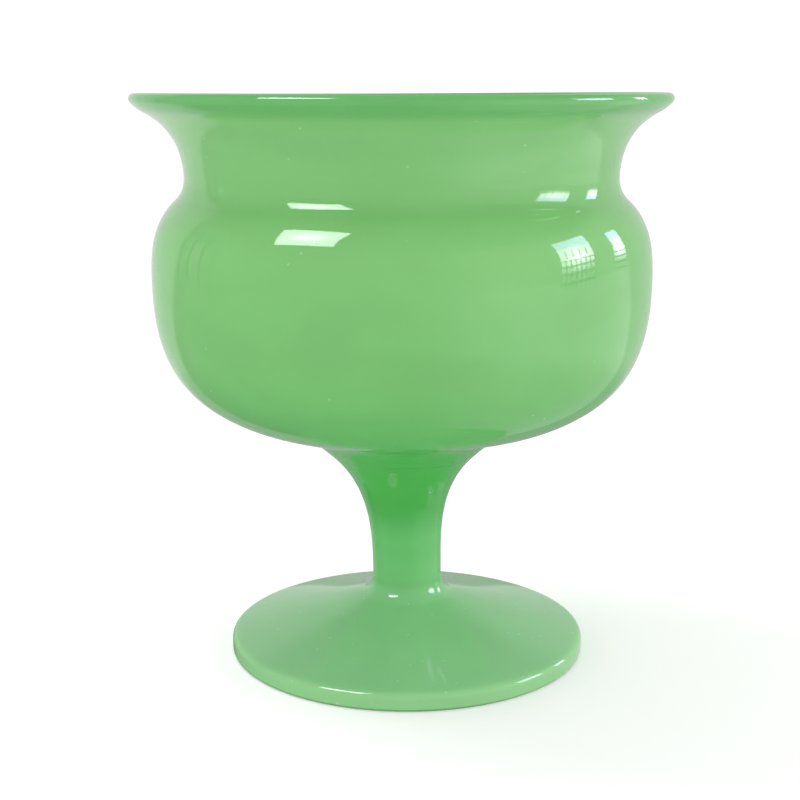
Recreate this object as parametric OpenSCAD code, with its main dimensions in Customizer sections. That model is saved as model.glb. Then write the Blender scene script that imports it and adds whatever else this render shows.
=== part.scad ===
// Footed glass vase: a blown bowl, a drawn stem and a spread foot, joined hot.
// Each outline is a chain of smooth curves between anchors, turned about Z.
// The origin is the centre of the resting face, and +Z points up.

/* [Bowl] */
// Diameter at the widest part of the belly
belly_d = 141.3; // [110:0.1:180]
// How far the neck is drawn in from the belly, on the radius
neck_in = 9.8; // [4:0.1:16]
// How far the rim flares out past the neck, on the radius
lip_out = 14.15; // [6:0.05:24]
// How far the lip's rounded bead reaches in from the rim, on the radius
bead_in = 4.1; // [2.5:0.1:6]
// How far the steepest part of the step stands out past the neck
step_out = 2.75; // [1.5:0.05:5]
// How far the side has come in where it turns under
turn_in = 14; // [10:0.1:20]
// Height from the neck up to the rim
lip_h = 22.8; // [16:0.1:32]
// Height from the lower end of the lip's bead up to the rim
bead_h = 5.35; // [4:0.05:7]
// Height from the middle of the step up to the neck
step_h = 6.35; // [4:0.05:9]
// Height from the belly up to the middle of the step
shoulder_h = 22; // [16:0.1:30]
// Height from the turn of the side up to the belly
side_h = 35; // [26:0.1:46]
// Height from the underside up to the turn of the side
under_h = 8.15; // [5:0.1:12]
// Fall of the lip's upper surface where it leaves its rounded edge, in degrees
lip_fall = 22.6; // [15:0.1:35]
// Steepness of the lip's bead where it leaves the rounded edge, in degrees
bead_turn = 45; // [35:0.5:60]
// Steepness of the lip's bead at its lower end, in degrees
bead_fall = 27; // [20:0.5:34]
// Steepness of the step under the neck, in degrees
step_fall = 42.6; // [30:0.1:60]
// Steepness of the side where it turns under, in degrees
turn_fall = 35; // [25:0.1:50]
// Steepness of the underside where it is nearly level, in degrees
under_fall = 10.2; // [4:0.1:16]

/* [Glass thickness] */
// Thickness of the fire-polished lip
lip_t = 3.1; // [2:0.1:4]
// Thickness of the bowl's wall
wall_t = 3.2; // [2:0.1:5]
// Thickness of the bowl where the side turns under
turn_t = 3.8; // [2.5:0.1:6]
// Thickness of the bowl's underside
base_t = 4.6; // [3:0.1:7]
// Thickness of the solid glass at the middle of the floor
floor_t = 11; // [8:0.1:16]

/* [Stem] */
// Diameter at the waist, the thinnest place
waist_d = 20.2; // [14:0.1:30]
// How far the collar under the bowl spreads past the waist
collar_out = 11.65; // [8:0.05:16]
// How far the underside runs out past the collar
under_out = 13.9; // [8:0.1:20]
// How far the ankle, where the foot is joined on, spreads past the waist
ankle_out = 0.1; // [0.05:0.05:1]
// Height from the collar up to the underside
flare_h = 8.2; // [5:0.05:14]
// Height from the waist up to the collar
stem_h = 34.15; // [20:0.05:80]
// Height from the ankle up to the waist
ankle_h = 4.2; // [3:0.1:40]
// Steepness of the glass at the collar, in degrees
collar_fall = 41.3; // [30:0.1:60]
// Steepness of the glass at the ankle, in degrees
ankle_fall = 83; // [75:0.5:88]
// How far the bowl's rounded end sinks into the stem
bowl_dip = 1.5; // [0.5:0.1:3]
// How far the stem's rounded end sinks into the foot
stem_dip = 1; // [0.5:0.1:2]

/* [Foot] */
// Diameter of the foot
foot_d = 104.1; // [80:0.1:140]
// Height from the foot's edge up to the ankle
foot_rise = 15.55; // [12:0.05:22]
// How far the fillet under the ankle spreads, on the radius
toe_out = 4.05; // [3:0.05:7]
// Height of that fillet, from its toe up to the ankle
toe_h = 5.2; // [4:0.05:8]
// Fall of the glass at the toe of the fillet, in degrees
toe_fall = 20; // [12:0.5:28]
// Thickness of the foot at its edge
edge_t = 5.45; // [4:0.05:8]
// Rounding of the edge's upper corner
edge_top_r = 2; // [1:0.1:2.8]
// Rounding of the edge's lower corner
edge_low_r = 1; // [0.5:0.1:1.8]
// Fall of the foot's top where it meets the edge, in degrees
foot_fall = 14; // [6:0.1:20]
// Width of the flat ring that the foot stands on
ring_w = 7; // [3:0.1:12]
// Rise of the hollow under the foot
arch_h = 1.6; // [0.6:0.1:2.4]
// Diameter of the ground mark at the middle of the hollow
mark_d = 19; // [10:0.5:30]
// Depth of the ground mark
mark_h = 0.8; // [0.3:0.1:1.5]

/* [Smoothness] */
// Facets around the glass
facets = 180; // [60:12:240]
// Points along each curve of an outline
steps = 12; // [6:1:16]
// Points around each small rounding
round_steps = 6; // [4:1:10]

/* [Hidden] */
jade = [0.47, 0.73, 0.44];
deep_jade = [0.34, 0.66, 0.34];
pale_jade = [0.55, 0.76, 0.56];
// Handle length of every curve, as a share of the straight line between its anchors
reach = 0.38;

// Radii
belly_r = belly_d / 2;
neck_r = belly_r - neck_in;
rim_r = neck_r + lip_out;
step_r = neck_r + step_out;
turn_r = belly_r - turn_in;
waist_r = waist_d / 2;
collar_r = waist_r + collar_out;
under_r = collar_r + under_out;
ankle_r = waist_r + ankle_out;
foot_r = foot_d / 2;
ring_in_r = foot_r - edge_low_r - ring_w;

// Heights above the resting face
ankle_z = edge_t + foot_rise;
waist_z = ankle_z + ankle_h;
collar_z = waist_z + stem_h;
under_z = collar_z + flare_h;
turn_z = under_z + under_h;
belly_z = turn_z + side_h;
step_z = belly_z + shoulder_h;
neck_z = step_z + step_h;
rim_z = neck_z + lip_h;
floor_z = collar_z - bowl_dip + floor_t;

// Centres of the rounded lip and of the foot's upper corner
lip_c = [rim_r - lip_t / 2, rim_z - lip_t / 2];
edge_c = [foot_r - edge_top_r, edge_t - edge_top_r];

// Anchors, each [radius, height, heading], in the order the outside is met going down
down = -90;
inward = 180;
bead = [rim_r - bead_in, rim_z - bead_h, bead_fall - 180];
neck = [neck_r, neck_z, down];
step = [step_r, step_z, -step_fall];
belly = [belly_r, belly_z, down];
turn = [turn_r, turn_z, turn_fall - 180];
under = [under_r, under_z, under_fall - 180];
collar = [collar_r, collar_z, collar_fall - 180];
waist = [waist_r, waist_z, down];
ankle = [ankle_r, ankle_z, -ankle_fall];
toe = [ankle_r + toe_out, ankle_z - toe_h, -toe_fall];
edge = corner(edge_c, edge_top_r, -foot_fall);
floor_mid = [0, floor_z, inward];

function place(anchor) = [anchor[0], anchor[1]];
function along(heading) = [cos(heading), sin(heading)];
function reversed(list) = [for (i = [len(list) - 1 : -1 : 0]) list[i]];

// The point on a rounding of radius r where the outline's heading is h
function corner(c, r, h) = [c[0] - r * sin(h), c[1] + r * cos(h), h];

// The anchor on the inner surface that faces an outer one, through glass of thickness t
function inside(a, t) = [a[0] + t * sin(a[2]), a[1] - t * cos(a[2]), a[2]];

// One smooth curve from anchor a to anchor b, without its first point.
// Its points crowd towards the anchors, so that neighbouring curves meet without a kink.
function curve(a, b) =
    let (
        start = place(a),
        end = place(b),
        handle = reach * norm(end - start),
        leave = start + handle * along(a[2]),
        arrive = end - handle * along(b[2])
    )
    [for (i = [1 : steps]) let (t = (1 - cos(180 * i / steps)) / 2, s = 1 - t)
        s * s * s * start + 3 * s * s * t * leave + 3 * s * t * t * arrive + t * t * t * end];

// A chain of smooth curves through a list of anchors
function chain(anchors) = [
    place(anchors[0]),
    for (i = [1 : len(anchors) - 1]) each curve(anchors[i - 1], anchors[i])
];

// Points on an arc about c, from angle a0 to angle a1
function arc(c, r, a0, a1, n) = [
    for (i = [0 : n]) c + r * along(a0 + (a1 - a0) * i / n)
];

// A shallow dished face from radius r at height z to the axis, h higher there
function dish(r, z, h) =
    let (ball = (r * r + h * h) / (2 * abs(h)), half = asin(r / ball))
    [for (i = [0 : round_steps]) let (a = half * (1 - i / round_steps))
        [ball * sin(a), z + h - sign(h) * ball * (1 - cos(a))]];

// Height at radius q of the dished face that dish(r, z, h) makes
function dish_height(r, z, h, q) =
    let (ball = (r * r + h * h) / (2 * abs(h)))
    z + h - sign(h) * (ball - sqrt(ball * ball - q * q));

bowl_joint = dish(collar_r, collar_z, -bowl_dip);
stem_joint = dish(ankle_r, ankle_z, -stem_dip);

module turned(outline) {
    rotate_extrude($fn = facets)
        polygon(outline);
}

module bowl() {
    lip_under = corner(lip_c, lip_t / 2, bead_turn - 180);
    lip_over = corner(lip_c, lip_t / 2, lip_fall);
    lip_in = [lip_over[0], lip_over[1], lip_fall - 180];
    outer = chain([lip_under, bead, neck, step, belly, turn, under, collar]);
    inner = chain([
        lip_in,
        inside(neck, wall_t),
        inside(step, wall_t),
        inside(belly, wall_t),
        inside(turn, turn_t),
        inside(under, base_t),
        floor_mid
    ]);
    lip = arc(lip_c, lip_t / 2, 90 + lip_fall, bead_turn - 90, 2 * round_steps);
    color(jade)
        turned(concat(outer, bowl_joint, reversed(inner), lip));
}

module stem() {
    outer = chain([collar, waist, ankle]);
    color(deep_jade)
        turned(concat(outer, stem_joint, reversed(bowl_joint)));
}

module foot() {
    top = chain([ankle, toe, edge]);
    upper_corner = arc(edge_c, edge_top_r, 90 - foot_fall, 0, round_steps);
    low_c = [foot_r - edge_low_r, edge_low_r];
    lower_corner = arc(low_c, edge_low_r, 0, -90, round_steps);
    arch = [for (p = dish(ring_in_r, 0, arch_h)) if (p[0] > mark_d / 2) p];
    mark = dish(mark_d / 2, dish_height(ring_in_r, 0, arch_h, mark_d / 2), mark_h);
    color(pale_jade)
        turned(concat(top, upper_corner, lower_corner, arch, mark, reversed(stem_joint)));
}

bowl();
stem();
foot();
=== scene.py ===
# %% [markdown]
# # A footed vase in milky jade-green glass
#
# The real thing is blown and worked hot in three gathers of glass: a hollow bowl, a solid stem
# and a foot pressed flat. They are fused, so nothing moves and nothing comes off. The packed
# model gives the exact shape of each gather. This lesson turns each one into a smooth, slightly
# hand-made surface, mixes the glass for it, and lights it as on a white table between windows.

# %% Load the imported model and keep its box
import math

import bpy
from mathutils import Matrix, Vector


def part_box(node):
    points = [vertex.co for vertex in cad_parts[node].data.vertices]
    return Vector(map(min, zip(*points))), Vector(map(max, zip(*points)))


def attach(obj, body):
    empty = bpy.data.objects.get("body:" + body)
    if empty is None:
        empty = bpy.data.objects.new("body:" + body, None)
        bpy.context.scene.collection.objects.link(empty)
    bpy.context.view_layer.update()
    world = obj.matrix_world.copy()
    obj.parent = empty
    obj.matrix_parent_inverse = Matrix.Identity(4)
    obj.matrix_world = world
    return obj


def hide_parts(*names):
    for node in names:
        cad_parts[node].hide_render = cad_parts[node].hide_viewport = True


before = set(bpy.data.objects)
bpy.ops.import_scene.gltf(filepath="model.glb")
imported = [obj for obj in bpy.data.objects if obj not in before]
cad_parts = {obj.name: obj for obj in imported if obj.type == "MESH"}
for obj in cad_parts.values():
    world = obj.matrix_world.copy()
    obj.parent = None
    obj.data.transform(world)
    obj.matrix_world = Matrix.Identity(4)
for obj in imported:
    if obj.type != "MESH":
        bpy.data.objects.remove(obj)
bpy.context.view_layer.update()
MM = 0.001

# %% [markdown]
# Everything below is placed from a few heights and two radii. The collar is where the bowl meets
# the stem and the ankle is where the stem meets the foot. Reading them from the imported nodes
# keeps the looks in step with the design when a size changes there.

# %% Heights that the looks are placed from
NECK_SHARE = 0.86
rim_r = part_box("bowl")[1].x
rim_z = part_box("bowl")[1].z
neck_z = NECK_SHARE * rim_z
collar_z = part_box("stem")[1].z
ankle_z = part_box("foot")[1].z
foot_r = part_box("foot")[1].x
print(f"rim {rim_z:.4f}, neck {neck_z:.4f}, collar {collar_z:.4f}, ankle {ankle_z:.4f}")
print(f"rim radius {rim_r:.4f}, foot radius {foot_r:.4f}")

# %% [markdown]
# A turned shape could be drawn with a curve and a Screw modifier, but then the outline would be
# written down twice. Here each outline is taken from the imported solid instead: a copy is merged,
# every vertex that isn't on the half outline at Y = 0 is deleted, and what is left is spun round
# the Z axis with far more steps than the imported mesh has.

# %% Take an outline from a solid and spin it
SPIN_STEPS = 96
MERGE = 0.002 * MM
ON_PLANE = 0.001 * MM


def only(piece):
    """Selects one object and nothing else, and makes it the active one."""
    bpy.ops.object.select_all(action="DESELECT")
    piece.select_set(True)
    bpy.context.view_layer.objects.active = piece


def select_vertices(piece, wanted):
    """Selects the vertices for which wanted(co) is true, and leaves the piece in edit mode."""
    bpy.ops.object.mode_set(mode="EDIT")
    bpy.ops.mesh.select_mode(type="VERT")
    bpy.ops.mesh.select_all(action="DESELECT")
    bpy.ops.object.mode_set(mode="OBJECT")
    for vertex in piece.data.vertices:
        vertex.select = wanted(vertex.co)
    bpy.ops.object.mode_set(mode="EDIT")


def off_outline(co):
    return abs(co.y) > ON_PLANE or co.x < -ON_PLANE


def turned_copy(node, name):
    """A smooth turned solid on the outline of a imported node."""
    piece = bpy.data.objects.new(name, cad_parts[node].data.copy())
    piece.data.materials.clear()
    bpy.context.scene.collection.objects.link(piece)
    only(piece)
    bpy.ops.object.mode_set(mode="EDIT")
    bpy.ops.mesh.select_all(action="SELECT")
    bpy.ops.mesh.remove_doubles(threshold=MERGE)
    select_vertices(piece, off_outline)
    bpy.ops.mesh.delete(type="VERT")
    bpy.ops.mesh.select_all(action="SELECT")
    bpy.ops.mesh.spin(steps=SPIN_STEPS, angle=2 * math.pi, center=(0, 0, 0), axis=(0, 0, 1))
    bpy.ops.mesh.select_all(action="SELECT")
    bpy.ops.mesh.remove_doubles(threshold=MERGE)
    bpy.ops.mesh.normals_make_consistent(inside=False)
    bpy.ops.object.mode_set(mode="OBJECT")
    return piece


bowl = turned_copy("bowl", "jade_bowl")
stem = turned_copy("stem", "jade_stem")
foot = turned_copy("foot", "jade_foot")
pieces = (bowl, stem, foot)
for piece in pieces:
    print(piece.name, len(piece.data.vertices), "vertices after the spin")

# %% [markdown]
# A spun mesh still has flat steps, and glass shows every one of them in its reflections. A
# Subdivision Surface rounds them off. The rims where two gathers are fused have to stay crisp,
# so their edges are found by their angle and creased first. Shade Smooth by Angle then keeps the
# same rims sharp, so the skin runs on from one piece to the next without a visible seam.

# %% Round off the steps
SHARP = math.radians(24)

for piece in pieces:
    only(piece)
    bpy.ops.object.mode_set(mode="EDIT")
    bpy.ops.mesh.select_all(action="DESELECT")
    bpy.ops.mesh.select_mode(type="EDGE")
    bpy.ops.mesh.edges_select_sharp(sharpness=SHARP)
    bpy.ops.transform.edge_crease(value=1)
    bpy.ops.object.mode_set(mode="OBJECT")
    smooth = piece.modifiers.new("round_off", "SUBSURF")
    smooth.levels = smooth.render_levels = 1
    bpy.ops.object.modifier_apply(modifier=smooth.name)
    bpy.ops.object.shade_smooth_by_angle(angle=SHARP)
    print(piece.name, len(piece.data.polygons), "faces")

# %% [markdown]
# Glass shaped at the bench is never quite true. The stem leans by about a millimetre, the bowl
# and the foot are a hair out of round, and the rim isn't quite flat. No single operator makes
# that the same on three pieces that share their rims, so one function of place moves every
# vertex. Where two pieces touch they ask it about the same point, so they stay together. The
# resting face keeps Z = 0. Each wave round the axis has a size and a turn, in radians.

# %% Lean and out-of-round, as one field
STEM_LEAN = -1.2 * MM
BOWL_LEAN = -0.35 * MM
LEAN_ENDS_ABOVE_COLLAR = 8 * MM
BOWL_OVAL, BOWL_OVAL_TURN = 0.0024, 0.7
BOWL_TRIANGLE, BOWL_TRIANGLE_TURN = 0.0012, 2.1
BOWL_OVAL_FULL = 0.8 * rim_z
FOOT_OVAL, FOOT_OVAL_TURN = 0.0024, 2.4
FOOT_OVAL_IN = 0.35 * foot_r
FOOT_OVAL_BELOW, FOOT_OVAL_GONE = 0.6 * ankle_z, 1.2 * ankle_z
RIM_WARP, RIM_WARP_TURN = 0.22 * MM, 1.1
RIM_TIP = 0.12 * MM
RIM_WARP_FROM = 0.85 * rim_z


def ease(value, low, high):
    """0 below low, 1 above high, and a smooth step between."""
    t = min(max((value - low) / (high - low), 0.0), 1.0)
    return t * t * (3 - 2 * t)


def out_of_round(co, around):
    """How much wider the hand-made shape is at a point, as a share of its radius."""
    on_bowl = ease(co.z, collar_z, BOWL_OVAL_FULL)
    swell = on_bowl * (BOWL_OVAL * math.sin(2 * around + BOWL_OVAL_TURN)
                       + BOWL_TRIANGLE * math.sin(3 * around + BOWL_TRIANGLE_TURN))
    on_foot = ease(math.hypot(co.x, co.y), FOOT_OVAL_IN, foot_r)
    on_foot *= 1 - ease(co.z, FOOT_OVAL_BELOW, FOOT_OVAL_GONE)
    return swell + on_foot * FOOT_OVAL * math.sin(2 * around + FOOT_OVAL_TURN)


def hand_made(co):
    """Where a point of the true shape ends up on the hand-made one."""
    around = math.atan2(co.y, co.x)
    swell = out_of_round(co, around)
    lean = STEM_LEAN * ease(co.z, ankle_z, collar_z + LEAN_ENDS_ABOVE_COLLAR)
    lean += BOWL_LEAN * max(0.0, (co.z - collar_z) / (rim_z - collar_z))
    wave = RIM_WARP * math.sin(2 * around + RIM_WARP_TURN) + RIM_TIP * co.x / rim_r
    warp = ease(co.z, RIM_WARP_FROM, rim_z) * wave
    return Vector((co.x * (1 + swell) + lean, co.y * (1 + swell), co.z + warp))


for piece in pieces:
    for vertex in piece.data.vertices:
        vertex.co = hand_made(vertex.co)
    piece.data.update()
print(f"lean of the stem {STEM_LEAN / MM} mm, and of the bowl {BOWL_LEAN / MM} mm more")

# %% [markdown]
# The glass is a milky opaline: light goes a few millimetres in, spreads and comes out again, and
# only the fire-polished skin mirrors the room. The Principled shader has both, a subsurface
# share for the milk and a smooth skin that mirrors by its IOR. What varies over the surface is
# built once as small node groups, and each of the three glasses sets its own values. The helpers
# here place one node each, so that a group reads as a short list of steps.

# %% Helpers for nodes
def display(red, green, blue):
    """A colour as seen on a screen, 0 to 255, turned into the linear values that nodes use."""
    def linear(value):
        share = value / 255
        return share / 12.92 if share <= 0.04045 else ((share + 0.055) / 1.055) ** 2.4
    return linear(red), linear(green), linear(blue), 1.0


def feed(tree, socket, value):
    """Links value to the socket if value is a socket too, and writes it there if it isn't."""
    if isinstance(value, bpy.types.NodeSocket):
        tree.links.new(value, socket)
    else:
        socket.default_value = value


def math_node(tree, operation, *values):
    """A Math node fed with numbers or sockets. Returns its output."""
    node = tree.nodes.new("ShaderNodeMath")
    node.operation = operation
    for socket, value in zip(node.inputs, values):
        feed(tree, socket, value)
    return node.outputs[0]


def vector_node(tree, operation, first, second=None, result="Vector"):
    """A Vector Math node on one or two vectors. Returns the output named result."""
    node = tree.nodes.new("ShaderNodeVectorMath")
    node.operation = operation
    feed(tree, node.inputs[0], first)
    if second is not None:
        feed(tree, node.inputs[1], second)
    return node.outputs[result]


def scaled(tree, vector, factor):
    """A vector or colour times a factor. Returns the output."""
    node = tree.nodes.new("ShaderNodeVectorMath")
    node.operation = "SCALE"
    feed(tree, node.inputs["Vector"], vector)
    feed(tree, node.inputs["Scale"], factor)
    return node.outputs["Vector"]


def in_steps(tree, place, size):
    """The place vector counted in steps of size metres. Returns the output."""
    return scaled(tree, place, math_node(tree, "DIVIDE", 1.0, size))


def split_xyz(tree, vector):
    """The outputs X, Y and Z of a vector."""
    node = tree.nodes.new("ShaderNodeSeparateXYZ")
    feed(tree, node.inputs["Vector"], vector)
    return node.outputs


def smooth_range(tree, value, low, high):
    """0 at low, 1 at high and a smooth step between. Returns the output."""
    node = tree.nodes.new("ShaderNodeMapRange")
    node.interpolation_type = "SMOOTHSTEP"
    for label, wanted in (("Value", value), ("From Min", low), ("From Max", high)):
        feed(tree, node.inputs[label], wanted)
    return node.outputs["Result"]


def mix_colors(tree, factor, first, second):
    """first where factor is 0 and second where it is 1. Returns the output."""
    node = tree.nodes.new("ShaderNodeMix")
    node.data_type = "RGBA"
    feed(tree, node.inputs["Factor"], factor)
    color_inputs = [socket for socket in node.inputs if socket.type == "RGBA"]
    for socket, wanted in zip(color_inputs, (first, second)):
        feed(tree, socket, wanted)
    return next(socket for socket in node.outputs if socket.type == "RGBA")


print("a screen value of 128 is", round(display(128, 128, 128)[0], 3), "in linear light")

# %% [markdown]
# A group starts empty, with named sockets. Inputs are what a material sets for itself, and the
# output is what it gets back.

# %% Helpers for node groups
SOCKET_KINDS = {
    "number": "NodeSocketFloat",
    "vector": "NodeSocketVector",
    "color": "NodeSocketColor",
}


def new_group(name, inputs, output, kind):
    """An empty shader group with named sockets. Inputs are (name, kind, value)."""
    group = bpy.data.node_groups.new(name, "ShaderNodeTree")
    for label, input_kind, value in inputs:
        socket = group.interface.new_socket(
            name=label, in_out="INPUT", socket_type=SOCKET_KINDS[input_kind])
        if value is not None:
            socket.default_value = value
    group.interface.new_socket(name=output, in_out="OUTPUT", socket_type=SOCKET_KINDS[kind])
    print("group", name, "takes", [label for label, _, _ in inputs], "and gives", output)
    entry = group.nodes.new("NodeGroupInput").outputs
    leave = group.nodes.new("NodeGroupOutput").inputs
    return group, entry, leave


def noise_node(tree, place, size, detail, curl=0.0):
    """Soft noise with lumps of about size metres. Returns its output."""
    node = tree.nodes.new("ShaderNodeTexNoise")
    node.inputs["Scale"].default_value = 1.0
    node.inputs["Detail"].default_value = detail
    node.inputs["Distortion"].default_value = curl
    tree.links.new(in_steps(tree, place, size), node.inputs["Vector"])
    return node.outputs["Fac"]


print("kinds of socket:", sorted(SOCKET_KINDS))

# %% [markdown]
# **Milk clouds.** The white in the glass isn't mixed through evenly. Turning the gather on the
# blowpipe drags it out sideways, so the clouds are a noise squashed in height.

# %% Group: milk clouds
CLOUD_DETAIL = 3.0
CLOUD_CURL = 0.6
CLOUD_LOW, CLOUD_HIGH = 0.32, 0.68

milk_clouds, entry, leave = new_group(
    "Milk clouds",
    [("Place", "vector", None), ("Size", "number", 0.03), ("Squash", "number", 2.0)],
    "Factor", "number",
)
squash = milk_clouds.nodes.new("ShaderNodeCombineXYZ")
squash.inputs["X"].default_value = squash.inputs["Y"].default_value = 1.0
feed(milk_clouds, squash.inputs["Z"], entry["Squash"])
squashed = vector_node(milk_clouds, "MULTIPLY", entry["Place"], squash.outputs["Vector"])
noise = noise_node(milk_clouds, squashed, entry["Size"], CLOUD_DETAIL, CLOUD_CURL)
feed(milk_clouds, leave["Factor"], smooth_range(milk_clouds, noise, CLOUD_LOW, CLOUD_HIGH))

# %% [markdown]
# **Melt waves.** Reheating in the fire leaves a skin that is mirror-smooth but gently wavy. Only
# reflections show it, so it is a height of a few hundredths of a millimetre for a Bump node.

# %% Group: melt waves
WAVE_DETAIL = 1.0

melt_waves, entry, leave = new_group(
    "Melt waves",
    [("Place", "vector", None), ("Size", "number", 0.02), ("Depth", "number", 0.00005)],
    "Height", "number",
)
noise = noise_node(melt_waves, entry["Place"], entry["Size"], WAVE_DETAIL)
feed(melt_waves, leave["Height"], math_node(melt_waves, "MULTIPLY", noise, entry["Depth"]))

# %% [markdown]
# **Tool rings.** The neck, the step, the collar and the ankle are drawn in with jacks while the
# glass turns, which leaves faint rings. A sine of the height makes them, faded out away from a
# centre height.

# %% Group: tool rings
tool_rings, entry, leave = new_group(
    "Tool rings",
    [
        ("Place", "vector", None),
        ("Pitch", "number", 0.003),
        ("Centre", "number", 0.1),
        ("Spread", "number", 0.01),
        ("Depth", "number", 0.00001),
    ],
    "Height", "number",
)
up = split_xyz(tool_rings, entry["Place"])["Z"]
turns = math_node(tool_rings, "DIVIDE", up, entry["Pitch"])
wave = math_node(tool_rings, "SINE", math_node(tool_rings, "MULTIPLY", turns, 2 * math.pi))
away = math_node(tool_rings, "ABSOLUTE", math_node(tool_rings, "SUBTRACT", up, entry["Centre"]))
near = smooth_range(tool_rings, away, entry["Spread"], 0.0)
faded = math_node(tool_rings, "MULTIPLY", wave, near)
feed(tool_rings, leave["Height"], math_node(tool_rings, "MULTIPLY", faded, entry["Depth"]))

# %% [markdown]
# **Seeds and dust.** Small trapped bubbles and settled dust both read as pale specks. Each cell
# of a Voronoi pattern has one round speck, and only a share of the cells keep theirs.

# %% Group: seeds and dust
SPECK_OUTSIDE, SPECK_INSIDE = 0.16, 0.04

specks, entry, leave = new_group(
    "Seeds and dust",
    [("Place", "vector", None), ("Size", "number", 0.004), ("Share", "number", 0.2)],
    "Mask", "number",
)
cells = specks.nodes.new("ShaderNodeTexVoronoi")
cells.inputs["Scale"].default_value = 1.0
feed(specks, cells.inputs["Vector"], in_steps(specks, entry["Place"], entry["Size"]))
dot = smooth_range(specks, cells.outputs["Distance"], SPECK_OUTSIDE, SPECK_INSIDE)
lot = specks.nodes.new("ShaderNodeSeparateColor")
feed(specks, lot.inputs["Color"], cells.outputs["Color"])
kept = math_node(specks, "LESS_THAN", lot.outputs["Red"], entry["Share"])
feed(specks, leave["Mask"], math_node(specks, "MULTIPLY", dot, kept))

# %% [markdown]
# ** Height fade.** Thick glass swallows more light than thin glass, so the green is deepest at
# the top of the solid stem and paler on the thin bowl and on the flat foot. The fades carry painted
# shade and painted light as well, which the three glasses below name. A fade between two heights
# drives that, with one colour at each end, and a material chains several of them.

# %% Group: height fade
height_fade, entry, leave = new_group(
    "Height fade",
    [
        ("Place", "vector", None),
        ("Low", "number", 0.0),
        ("High", "number", 0.1),
        ("Low Color", "color", (1, 1, 1, 1)),
        ("High Color", "color", (1, 1, 1, 1)),
    ],
    "Color", "color",
)
up = split_xyz(height_fade, entry["Place"])["Z"]
fade = smooth_range(height_fade, up, entry["Low"], entry["High"])
feed(height_fade, leave["Color"],
     mix_colors(height_fade, fade, entry["Low Color"], entry["High Color"]))

# %% [markdown]
# **The glass recipe.** All three glasses come from one pot, so one function mixes them all. The
# skin's gloss, the IOR and the subsurface values are plain values on the shader itself, and only
# the colours, the share of specks and the marks of the tools differ from piece to piece.

# %% Write the recipe
SKIN_ROUGHNESS = 0.045
GLASS_IOR = 1.5
MILK_SHARE = 0.35
MILK_REACH = (0.7, 1.0, 0.6)
MILK_DEPTH = 2.5 * MM
CLOUD_SIZE = 34 * MM
CLOUD_SQUASH = 2.2
CLOUD_CONTRAST = 0.05
SPECK_CELL = 3.2 * MM
SPECK_COLOR = display(205, 225, 200)
SPECK_TINT = 0.35
SPECK_DULLING = 0.2
BROAD_WAVES = {"Size": 22 * MM, "Depth": 0.035 * MM}
FINE_WAVES = {"Size": 6 * MM, "Depth": 0.003 * MM}


def add_group(tree, group, place, **values):
    """A group placed in a material, fed with the place vector and its own values."""
    node = tree.nodes.new("ShaderNodeGroup")
    node.node_tree = group
    feed(tree, node.inputs["Place"], place)
    for label, value in values.items():
        feed(tree, node.inputs[label.replace("_", " ")], value)
    return node.outputs[0]


def glass_color(tree, place, colors, seeds):
    """The colours faded over the height, then clouded, then dotted with specks."""
    low_z, glass = colors[0]
    for high_z, high in colors[1:]:
        glass = add_group(tree, height_fade, place, Low=low_z, High=high_z, Low_Color=glass,
                          High_Color=high)
        low_z = high_z
    clouds = add_group(tree, milk_clouds, place, Size=CLOUD_SIZE, Squash=CLOUD_SQUASH)
    milk = math_node(tree, "MULTIPLY_ADD", clouds, CLOUD_CONTRAST, 1 - CLOUD_CONTRAST / 2)
    tint = math_node(tree, "MULTIPLY", seeds, SPECK_TINT)
    return mix_colors(tree, tint, scaled(tree, glass, milk), SPECK_COLOR)


def skin_height(tree, place, rings):
    """The waves of the skin with the rings of the tools on them."""
    height = math_node(tree, "ADD", add_group(tree, melt_waves, place, **BROAD_WAVES),
                       add_group(tree, melt_waves, place, **FINE_WAVES))
    for ring in rings:
        height = math_node(tree, "ADD", height, add_group(tree, tool_rings, place, **ring))
    return height


def jade_glass(name, colors, speck_share, rings):
    """One opaline glass. colors is a list of (height, colour), from the lowest up."""
    material = bpy.data.materials.new(name)
    material.use_nodes = True
    tree = material.node_tree
    shader = tree.nodes["Principled BSDF"]
    place = tree.nodes.new("ShaderNodeTexCoord").outputs["Object"]
    seeds = add_group(tree, specks, place, Size=SPECK_CELL, Share=speck_share)
    bump = tree.nodes.new("ShaderNodeBump")
    bump.inputs["Strength"].default_value = 1.0
    bump.inputs["Distance"].default_value = 1.0
    feed(tree, bump.inputs["Height"], skin_height(tree, place, rings))
    for label, value in {
        "Base Color": glass_color(tree, place, colors, seeds),
        "Roughness": math_node(tree, "MULTIPLY_ADD", seeds, SPECK_DULLING, SKIN_ROUGHNESS),
        "Normal": bump.outputs["Normal"],
        "IOR": GLASS_IOR,
        "Subsurface Weight": MILK_SHARE,
        "Subsurface Radius": MILK_REACH,
        "Subsurface Scale": MILK_DEPTH,
    }.items():
        feed(tree, shader.inputs[label], value)
    print("mixed", name, "with", len(colors), "colours and", len(rings), "sets of rings")
    return material


print("milk reaches", MILK_DEPTH / MM, "mm deep under a skin of roughness", SKIN_ROUGHNESS)
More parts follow.
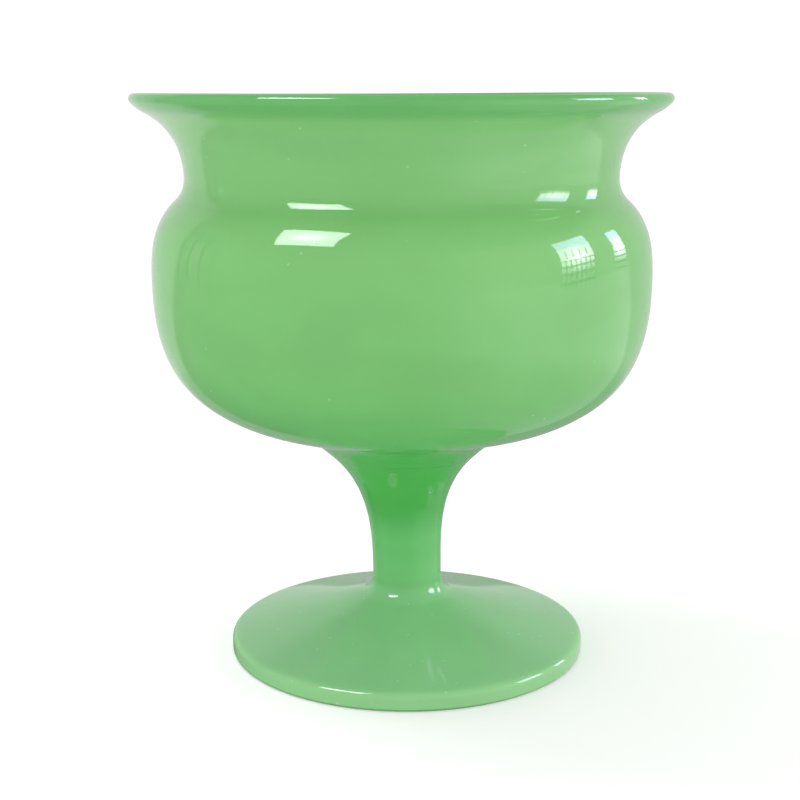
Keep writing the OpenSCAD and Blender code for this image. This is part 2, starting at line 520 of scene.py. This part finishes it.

# %% [markdown]
# ** The three glasses.** The colours follow the height, and part of them is painted light and
# shade. The lip is darker than the belly, partly from its thicker bead and partly as painted shade
# under the lip, and the underside of the bowl is darker, partly from the thick glass at the collar
# and partly as painted shade under the bowl. Near the shoulder the belly is lifted a little, as
# painted light against the shade of its groove. The stem is deepest under the bowl, where thick
# glass and painted shade add up, and pales towards the ankle, where painted light lifts stem and
# foot against the shade of the bowl and the stem. The foot is the palest, down to a dark line
# where it rests, which is a painted contact shadow. Rings have a centre height, a spread to
# either side, a pitch and a depth.

# %% Mix the three glasses
NECK_RINGS = {"Centre": neck_z, "Spread": 9 * MM, "Pitch": 2.6 * MM, "Depth": 0.006 * MM}
STEP_RINGS = {"Centre": neck_z - 10 * MM, "Spread": 7 * MM, "Pitch": 3.1 * MM,
              "Depth": 0.006 * MM}
COLLAR_RINGS = {"Centre": collar_z, "Spread": 9 * MM, "Pitch": 1.7 * MM, "Depth": 0.02 * MM}
ANKLE_RINGS = {"Centre": ankle_z, "Spread": 6 * MM, "Pitch": 2.0 * MM, "Depth": 0.008 * MM}
# Deep green of the thick glass at the collar, with painted shade from the bowl above added in.
DEEP_GREEN_AND_PAINTED_SHADE = display(82, 178, 84)
# Green at the ankle, lifted as painted light against the shade of the stem and the bowl.
ANKLE_GREEN_AND_PAINTED_LIGHT = display(124, 206, 128)

bowl_glass = jade_glass(
    "jade_bowl_glass",
    colors=[
        (collar_z, DEEP_GREEN_AND_PAINTED_SHADE),
        # darker under the bowl: partly the thick glass at the collar, partly painted shade
        (collar_z + 10 * MM, display(95, 173, 95)),
        (collar_z + 36 * MM, display(119, 186, 111)),
        # lifted a little: painted light against the shade in the groove of the shoulder
        (collar_z + 70 * MM, display(128, 193, 117)),
        (rim_z - 7 * MM, display(129, 191, 120)),
        # the lip: partly the thicker bead, partly painted shade under the lip
        (rim_z - 4.2 * MM, display(106, 176, 104)),
    ],
    speck_share=0.06,
    rings=[NECK_RINGS, STEP_RINGS, COLLAR_RINGS],
)
stem_glass = jade_glass(
    "jade_stem_glass",
    colors=[
        (ankle_z, ANKLE_GREEN_AND_PAINTED_LIGHT),
        (ankle_z + 12 * MM, display(112, 197, 117)),
        (collar_z - 13 * MM, DEEP_GREEN_AND_PAINTED_SHADE),
    ],
    speck_share=0.05,
    rings=[COLLAR_RINGS, ANKLE_RINGS],
)
foot_glass = jade_glass(
    "jade_foot_glass",
    colors=[
        # a painted contact shadow where the foot rests on the table
        (0.2 * MM, display(84, 150, 84)),
        (1.0 * MM, display(146, 204, 143)),
        (4.5 * MM, display(146, 204, 143)),
        (6 * MM, display(139, 198, 141)),
        (11 * MM, display(139, 202, 141)),
        # lighter towards the ankle: painted light against the shade of the stem and the bowl
        (17 * MM, display(143, 210, 146)),
        (ankle_z, ANKLE_GREEN_AND_PAINTED_LIGHT),
    ],
    speck_share=0.3,
    rings=[ANKLE_RINGS],
)
for piece, glass in zip(pieces, (bowl_glass, stem_glass, foot_glass)):
    piece.data.materials.append(glass)

# %% [markdown]
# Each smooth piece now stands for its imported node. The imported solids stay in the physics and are
# only hidden here.

# %% Put the pieces on the body
for piece, node, slot in (
    (bowl, "bowl", "jade_glass"),
    (stem, "stem", "deep_jade_glass"),
    (foot, "foot", "pale_jade_glass"),
):
    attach(piece, "root")
    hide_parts(node)
    print(piece.name, "stands for the packed", node)

# %% [markdown]
# **What the glass mirrors.** A white table under a white sky would show in the skin as one flat
# haze. In a real room the glass mirrors dim walls in front of it, a bright side at the windows on
# the right and a pale backdrop behind it. So mirror rays find the table and the sky at a
# brightness of their own, which changes with the direction they leave in. Directions count from
# -1 to 1 on each axis: X is to the right and Y is to the back.

# %% Brightness by direction
RIGHT_FROM, RIGHT_FULL = 0.1, 0.8
BACK_FROM, BACK_FULL = 0.45, 0.53
BACK_SIDES = 0.3


def surroundings(tree, way, room, right, behind_left, behind_right):
    """How bright a mirror ray finds what lies in its direction."""
    axes = split_xyz(tree, way)
    to_right = smooth_range(tree, axes["X"], RIGHT_FROM, RIGHT_FULL)
    front = math_node(tree, "MULTIPLY_ADD", to_right, right - room, room)
    across = smooth_range(tree, axes["X"], -BACK_SIDES, BACK_SIDES)
    behind = math_node(tree, "MULTIPLY_ADD", across, behind_right - behind_left, behind_left)
    to_back = smooth_range(tree, axes["Y"], BACK_FROM, BACK_FULL)
    more = math_node(tree, "MULTIPLY", to_back, math_node(tree, "SUBTRACT", behind, front))
    return math_node(tree, "ADD", front, more)


print("the back starts", round(math.degrees(math.asin(BACK_FROM))), "degrees behind sideways")

# %% [markdown]
# **The table.** A plain white sheet, larger than the view. It glows a little, so that it comes
# out paper white all round and only the soft shadow of the vase shows on it. In a mirror ray it
# has the brightness by direction, less a share near the axis, where the vase shades it.

# %% Table
TABLE_SIZE = 12
PAPER_WHITE = 0.74
PAPER_ROUGHNESS = 0.9
PAPER_GLOW = 0.28
PAPER_SEEN = {"room": 0.35, "right": 1.3, "behind_left": 0.83, "behind_right": 0.72}
SHADED = 0.55
SHADED_TO, SHADED_FROM = 0.16, 0.3

bpy.ops.object.select_all(action="DESELECT")
bpy.ops.mesh.primitive_plane_add(size=TABLE_SIZE, location=(0, 0, 0))
table = bpy.context.active_object
table.name = "white_table"
table_paint = bpy.data.materials.new("white_paper")
table_paint.use_nodes = True
tree = table_paint.node_tree
paper = tree.nodes["Principled BSDF"]
paper.inputs["Base Color"].default_value = (PAPER_WHITE, PAPER_WHITE, PAPER_WHITE, 1)
paper.inputs["Roughness"].default_value = PAPER_ROUGHNESS
paper.inputs["Specular IOR Level"].default_value = 0.0
paper.inputs["Emission Color"].default_value = (1, 1, 1, 1)
paper.inputs["Emission Strength"].default_value = PAPER_GLOW
spot = tree.nodes.new("ShaderNodeTexCoord").outputs["Object"]
outward = vector_node(tree, "NORMALIZE", spot)
distance = vector_node(tree, "LENGTH", spot, result="Value")
open_sky = smooth_range(tree, distance, SHADED_TO, SHADED_FROM)
lit_share = math_node(tree, "MULTIPLY_ADD", open_sky, 1 - SHADED, SHADED)
paper_seen = surroundings(tree, outward, **PAPER_SEEN)
in_mirror = tree.nodes.new("ShaderNodeEmission")
feed(tree, in_mirror.inputs["Strength"], math_node(tree, "MULTIPLY", paper_seen, lit_share))
pick = tree.nodes.new("ShaderNodeMixShader")
feed(tree, pick.inputs[0], tree.nodes.new("ShaderNodeLightPath").outputs["Is Glossy Ray"])
tree.links.new(paper.outputs["BSDF"], pick.inputs[1])
tree.links.new(in_mirror.outputs["Emission"], pick.inputs[2])
tree.links.new(pick.outputs["Shader"], tree.nodes["Material Output"].inputs["Surface"])
table.data.materials.append(table_paint)
print("table", TABLE_SIZE, "m wide, of white", PAPER_WHITE, "and glow", PAPER_GLOW)

# %% [markdown]
# **The sky.** It lights everything evenly. Mirror rays find the walls of a room instead, at the
# brightness by direction, and a dim ceiling above them.

# %% Sky
SKY = 1.08
SKY_SEEN = {"room": 0.4, "right": 0.9, "behind_left": 0.8, "behind_right": 0.72}
CEILING = 0.3
CEILING_FROM = math.sin(math.radians(28))
CEILING_TO = math.sin(math.radians(42))

sky = bpy.data.worlds.new("white_sky")
bpy.context.scene.world = sky
sky.use_nodes = True
tree = sky.node_tree
tree.nodes["Background"].inputs["Color"].default_value = (1, 1, 1, 1)
way = tree.nodes.new("ShaderNodeTexCoord").outputs["Generated"]
walls = surroundings(tree, way, **SKY_SEEN)
high_up = smooth_range(tree, split_xyz(tree, way)["Z"], CEILING_FROM, CEILING_TO)
darker = math_node(tree, "MULTIPLY", high_up, math_node(tree, "SUBTRACT", CEILING, walls))
dimmed = math_node(tree, "SUBTRACT", math_node(tree, "ADD", walls, darker), SKY)
mirror_ray = tree.nodes.new("ShaderNodeLightPath").outputs["Is Glossy Ray"]
strength = math_node(tree, "MULTIPLY_ADD", mirror_ray, dimmed, SKY)
feed(tree, tree.nodes["Background"].inputs["Strength"], strength)
bpy.context.scene.view_settings.view_transform = "Standard"
print("sky", SKY, "for light, and a ceiling of", CEILING, "in mirrors")

# %% [markdown]
# **Window glow.** The bright marks on the glass are mirror images of windows. Each pane glows
# most in its middle, may be bluer at the top and dimmer at the bottom, and has darker glazing
# bars across it. Places on a pane are counted from 0 to 1 in X and Y.

# %% Paint a pane
DAYLIGHT = (0.93, 0.97, 1.0, 1)
BLUE_SKY = (0.6, 0.66, 1.0, 1)
BLUE_FROM, BLUE_FULL = 0.74, 0.8
PANE_EDGE = 0.6
EDGE_AT, MIDDLE_AT = 0.45, 0.05
PANE_BOTTOM = 0.15
FADE_HEIGHT = 0.35
BAR_DARKNESS = 0.75


def bar_mask(tree, axes, axis, count, low, high, thin):
    """1 on the bars and 0 between them. A set of bars reaches from low to high."""
    along = math_node(tree, "FRACT", math_node(tree, "MULTIPLY", axes[axis], count))
    off_centre = math_node(tree, "ABSOLUTE", math_node(tree, "SUBTRACT", along, 0.5))
    clear = math_node(tree, "LESS_THAN", off_centre, 0.5 - thin)
    inside = math_node(tree, "MULTIPLY", math_node(tree, "GREATER_THAN", axes["Y"], low),
                       math_node(tree, "LESS_THAN", axes["Y"], high))
    return math_node(tree, "MULTIPLY", math_node(tree, "SUBTRACT", 1.0, clear), inside)


def pane_paint(name, glow, fade_from, bars):
    """The glow of one window. Only a window with bars has blue sky in its top."""
    paint = bpy.data.materials.new(name)
    paint.use_nodes = True
    tree = paint.node_tree
    tree.nodes.clear()
    spot = tree.nodes.new("ShaderNodeTexCoord").outputs["UV"]
    axes = split_xyz(tree, spot)
    above_fade = smooth_range(tree, axes["Y"], fade_from - FADE_HEIGHT, fade_from)
    level = math_node(tree, "MULTIPLY_ADD", above_fade, (1 - PANE_BOTTOM) * glow,
                      PANE_BOTTOM * glow)
    from_middle = vector_node(tree, "DISTANCE", spot, (0.5, 0.5, 0), result="Value")
    centred = smooth_range(tree, from_middle, EDGE_AT, MIDDLE_AT)
    level = math_node(tree, "MULTIPLY", level,
                      math_node(tree, "MULTIPLY_ADD", centred, 1 - PANE_EDGE, PANE_EDGE))
    for bar_set in bars:
        dark = bar_mask(tree, axes, *bar_set)
        keep = math_node(tree, "MULTIPLY_ADD", dark, -BAR_DARKNESS, 1.0)
        level = math_node(tree, "MULTIPLY", level, keep)
    emission = tree.nodes.new("ShaderNodeEmission")
    top = smooth_range(tree, axes["Y"], BLUE_FROM, BLUE_FULL)
    feed(tree, emission.inputs["Color"],
         mix_colors(tree, top, DAYLIGHT, BLUE_SKY if bars else DAYLIGHT))
    feed(tree, emission.inputs["Strength"], level)
    output = tree.nodes.new("ShaderNodeOutputMaterial")
    tree.links.new(emission.outputs["Emission"], output.inputs["Surface"])
    return paint


print("panes fall to", PANE_EDGE, "of their glow at the sides")

# %% [markdown]
# **Window cards.** Each window is a card that only reflections see, so its brightness can be set
# without changing the light on the table. A card is placed by the directions of its four corners
# from a point high in the bowl: an angle round from the front and an angle up.

# %% Hang the windows
middle = Vector((0, 0, 0.75 * rim_z))


def direction(around, up):
    """A unit vector: around is degrees from the front towards +X, up is degrees above level."""
    a, u = math.radians(around), math.radians(up)
    return Vector((math.sin(a) * math.cos(u), -math.cos(a) * math.cos(u), math.sin(u)))


def window_card(name, corners, away, glow, fade_from, bars):
    """A glowing pane seen only in reflections.

    corners are (around, up) for bottom left, bottom right, top left and top right, away is its
    distance and fade_from the share of its height below which it dims. Each bar set is
    (axis, count, lowest share, highest share, half thickness as a share of a bar's step).
    """
    places = [middle + direction(around, up) * away for around, up in corners]
    centre = sum(places, Vector()) / len(places)
    bpy.ops.object.select_all(action="DESELECT")
    bpy.ops.mesh.primitive_plane_add(size=1, location=centre)
    card = bpy.context.active_object
    card.name = name
    for vertex, place in zip(card.data.vertices, places):
        vertex.co = place - centre
    card.visible_camera = card.visible_diffuse = card.visible_shadow = False
    card.visible_transmission = False
    card.data.materials.append(pane_paint(name + "_glow", glow, fade_from, bars))
    print(name, "hangs", away, "m away with glow", glow)


window_card("window_left", [(-63, 32.5), (-33, 38), (-73.5, 50.3), (-32.5, 58)],
            away=1.4, glow=20.0, fade_from=0.0, bars=[])
window_card("window_right_wide", [(71.5, -6), (91.5, -5), (75, 28.5), (97, 28)],
            away=1.6, glow=17.0, fade_from=0.55,
            bars=[("X", 5, 0.54, 0.72, 0.1), ("Y", 8, 0.0, 0.5, 0.16), ("X", 7, 0.0, 0.5, 0.16)])
window_card("window_right_narrow", [(107, 0), (117.5, -1), (111, 22), (120, 20)],
            away=1.6, glow=14.0, fade_from=0.45,
            bars=[("X", 2, 0.5, 0.7, 0.1), ("Y", 8, 0.0, 0.4, 0.16)])
window_card("doorway_left", [(-116, -10), (-90, -10), (-116, 26), (-90, 26)],
            away=1.8, glow=0.75, fade_from=0.0, bars=[("X", 3, 0.0, 0.9, 0.12)])

# %% [markdown]
# **Light.** A soft light high on the left, a little to the back, throws the faint shadow to the
# right, and it is linked to the table alone. A broad light level with the bowl on the right does
# what the windows there would do to the glass, and it is linked to the three pieces alone.
# Neither shows in reflections, where the cards stand in for them.

# %% Two linked lights
def linked_light(name, width, depth, watts, place, lit):
    """A rectangular light that looks at the middle of the bowl and lights only some objects."""
    data = bpy.data.lights.new(name, "AREA")
    data.shape = "RECTANGLE"
    data.size, data.size_y = width, depth
    data.energy = watts
    light = bpy.data.objects.new(name, data)
    light.location = place
    light.rotation_euler = (middle - place).to_track_quat("-Z", "Y").to_euler()
    light.visible_glossy = False
    bpy.context.scene.collection.objects.link(light)
    receivers = bpy.data.collections.new("lit_by_" + name)
    for item in lit:
        receivers.objects.link(item)
    light.light_linking.receiver_collection = receivers
    print(name, "gives", watts, "W to", [item.name for item in lit])


linked_light("soft_key", width=0.4, depth=0.3, watts=2.2,
             place=middle + direction(-115, 50) * 0.9, lit=[table])
linked_light("window_fill", width=1.0, depth=1.0, watts=2.6,
             place=middle + direction(88, -2) * 1.4, lit=pieces)

# %% [markdown]
# **Camera.** It stands level with the rim, so the mouth closes to a line, and tips down by about
# twelve degrees, which opens the foot into a wide ellipse.

# %% Camera
CAMERA_AWAY = 0.41466
CAMERA_UP = 0.1628
TIP_DOWN = math.radians(12.04)
FOCAL = 65.48
SENSOR = 36
SHIFT = -0.0087

camera_data = bpy.data.cameras.new("camera")
camera_data.lens = FOCAL
camera_data.sensor_width = SENSOR
camera_data.shift_x = SHIFT
camera = bpy.data.objects.new("camera", camera_data)
camera.location = (0, -CAMERA_AWAY, CAMERA_UP)
camera.rotation_euler = (math.pi / 2 - TIP_DOWN, 0, 0)
bpy.context.scene.collection.objects.link(camera)
bpy.context.scene.camera = camera
print("camera", CAMERA_AWAY, "m away and", CAMERA_UP, "m up, with a lens of", FOCAL, "mm")
